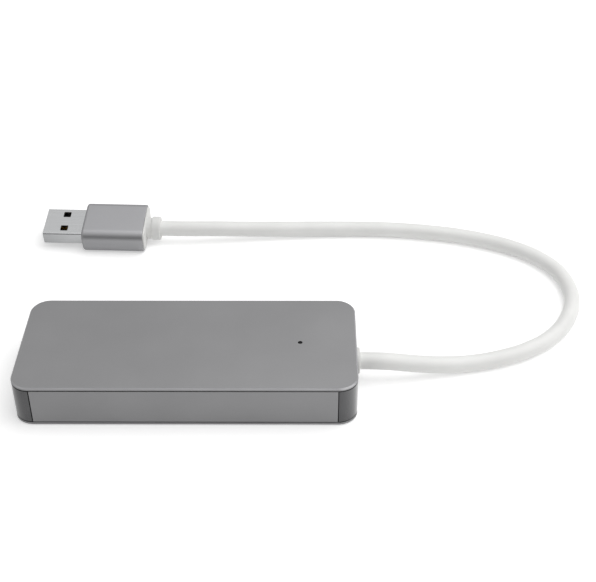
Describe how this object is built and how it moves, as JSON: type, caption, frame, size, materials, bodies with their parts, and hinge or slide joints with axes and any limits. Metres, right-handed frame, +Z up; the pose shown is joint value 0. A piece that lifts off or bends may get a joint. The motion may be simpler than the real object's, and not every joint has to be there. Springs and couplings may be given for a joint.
{
  "type": "video capture box",
  "caption": "Slim metal video capture box with rounded corners, a video socket and an audio jack at one end, and a captive cable to a flat data plug.",
  "frame": {"origin": "middle of the box's underside, on the surface that it stands on", "axes": "+X from the port end to the cable end, +Y from the front panel to the rear panel, +Z up"},
  "size_m": [0.17, 0.0986, 0.0131],
  "materials": {
    "anodised_aluminium": "bead blasted and anodised silver grey",
    "frame_plastic": "moulded, fine texture",
    "white_plastic": "moulded, smooth",
    "cable_jacket": "soft vinyl, satin",
    "plated_steel": "nickel plated sheet",
    "screw_steel": "turned and plated",
    "contact_gold": "gold plated",
    "board_laminate": "green solder mask",
    "chip_black": "moulded epoxy",
    "socket_black": "moulded",
    "film_black": "satin film",
    "adhesive_grey": "foam tape",
    "pad_blue": "soft pad",
    "heat_block_metal": "milled",
    "light_pipe_smoke": "smoked clear",
    "lamp_white": "clear epoxy",
    "ferrite_grey": "sintered",
    "crystal_metal": "welded lid",
    "tantalum_orange": "moulded",
    "ceramic_tan": "fired",
    "wire_red": "extruded",
    "wire_green": "extruded",
    "wire_blue": "extruded",
    "wire_violet": "extruded"
  },
  "bodies": {
    "root": {"mid_frame": "frame_plastic", "top_cover": "anodised_aluminium", "cover_tape": "adhesive_grey", "bottom_cover": "anodised_aluminium", "cover_screws": "screw_steel", "front_side_panel": "anodised_aluminium", "rear_side_panel": "anodised_aluminium", "light_pipe": "light_pipe_smoke", "insulating_film": "film_black", "circuit_board": "board_laminate", "board_screws": "screw_steel", "indicator_led": "lamp_white", "video_socket_shell": "plated_steel", "video_socket_tongue": "socket_black", "video_socket_contacts": "contact_gold", "audio_jack_body": "socket_black", "audio_jack_bush": "plated_steel", "audio_jack_springs": "contact_gold", "capture_processor": "chip_black", "heat_block": "heat_block_metal", "thermal_pads": "pad_blue", "video_receiver_chip": "chip_black", "memory_chip": "chip_black", "flash_chip": "chip_black", "audio_codec_chip": "chip_black", "voltage_regulators": "chip_black", "power_inductors": "ferrite_grey", "clock_crystals": "crystal_metal", "tantalum_capacitors": "tantalum_orange", "ceramic_capacitors": "ceramic_tan", "chip_resistors": "chip_black", "cable_gland": "white_plastic", "cable_tail": "cable_jacket", "cable_crimp_ring": "plated_steel", "power_wires": "wire_red", "slow_pair_wires": "wire_green", "receive_pair_wires": "wire_blue", "transmit_pair_wires": "wire_violet", "free_cable": "cable_jacket", "plug_sleeve": "anodised_aluminium", "plug_rear_insert": "white_plastic", "plug_inner_mould": "white_plastic", "plug_shell": "plated_steel", "plug_tongue": "socket_black", "plug_contacts": "contact_gold", "plug_fast_contacts": "contact_gold", "plug_cable_tail": "cable_jacket"}
  },
  "joints": []
}
